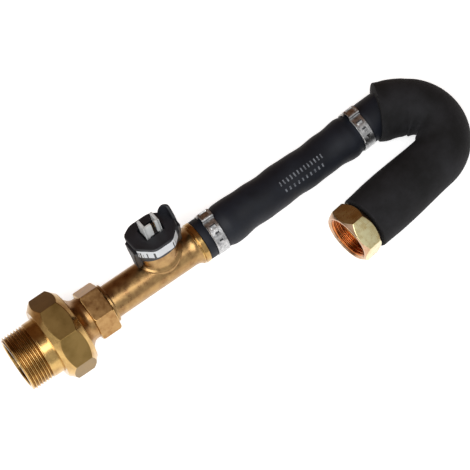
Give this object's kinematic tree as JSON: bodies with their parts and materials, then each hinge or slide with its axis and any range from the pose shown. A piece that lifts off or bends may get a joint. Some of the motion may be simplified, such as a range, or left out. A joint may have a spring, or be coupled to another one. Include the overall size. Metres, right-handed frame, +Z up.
{
  "type": "heat pump pipe with flow sensor",
  "caption": "Brass flow sensor body with a union end and a clamped rubber hose to an insulated bent pipe with a swivel nut.",
  "frame": {"origin": "centre of the bounding box at its base, on the floor that the part lies on", "axes": "+X along the flow body from the male thread to the hose, +Y to the side away from the bent leg, +Z up"},
  "size_m": [0.3634, 0.105, 0.0773],
  "materials": {
    "brass": "polished",
    "nut_brass": "satin",
    "swivel_brass": "satin",
    "copper": "satin",
    "gold": "polished",
    "steel": "satin",
    "black_plastic": "satin",
    "grey_plastic": "satin",
    "clear_plastic": "gloss",
    "board": "matte",
    "seal": "matte",
    "hose_rubber": "matte",
    "foam": "matte"
  },
  "bodies": {
    "pipe": {"outlet_nipple": "brass", "union_seal": "seal", "union_nut": "nut_brass", "tail_adapter": "brass", "adapter_seal": "seal", "flow_body": "brass", "sensor_plug": "grey_plastic", "plug_seal_ring": "seal", "bluff_body": "grey_plastic", "sensing_vane": "grey_plastic", "circuit_board": "board", "sensor_housing": "black_plastic", "connector_socket": "clear_plastic", "contact_pin_1": "gold", "contact_pin_2": "gold", "contact_pin_3": "gold", "contact_pin_4": "gold", "rubber_hose": "hose_rubber", "bend_pipe": "copper", "foam_sleeve": "foam", "ear_clamp_1": "steel", "ear_clamp_2": "steel", "pipe_collar": "brass"},
    "swivel_nut": {"swivel_nut": "swivel_brass"}
  },
  "joints": [
    {"name": "nut_spin", "type": "hinge", "parent": "pipe", "child": "swivel_nut", "pos_m": [0.05472, -0.03373, 0.0228], "axis": [0.9911, 0.1287, -0.0326], "continuous": true}
  ]
}
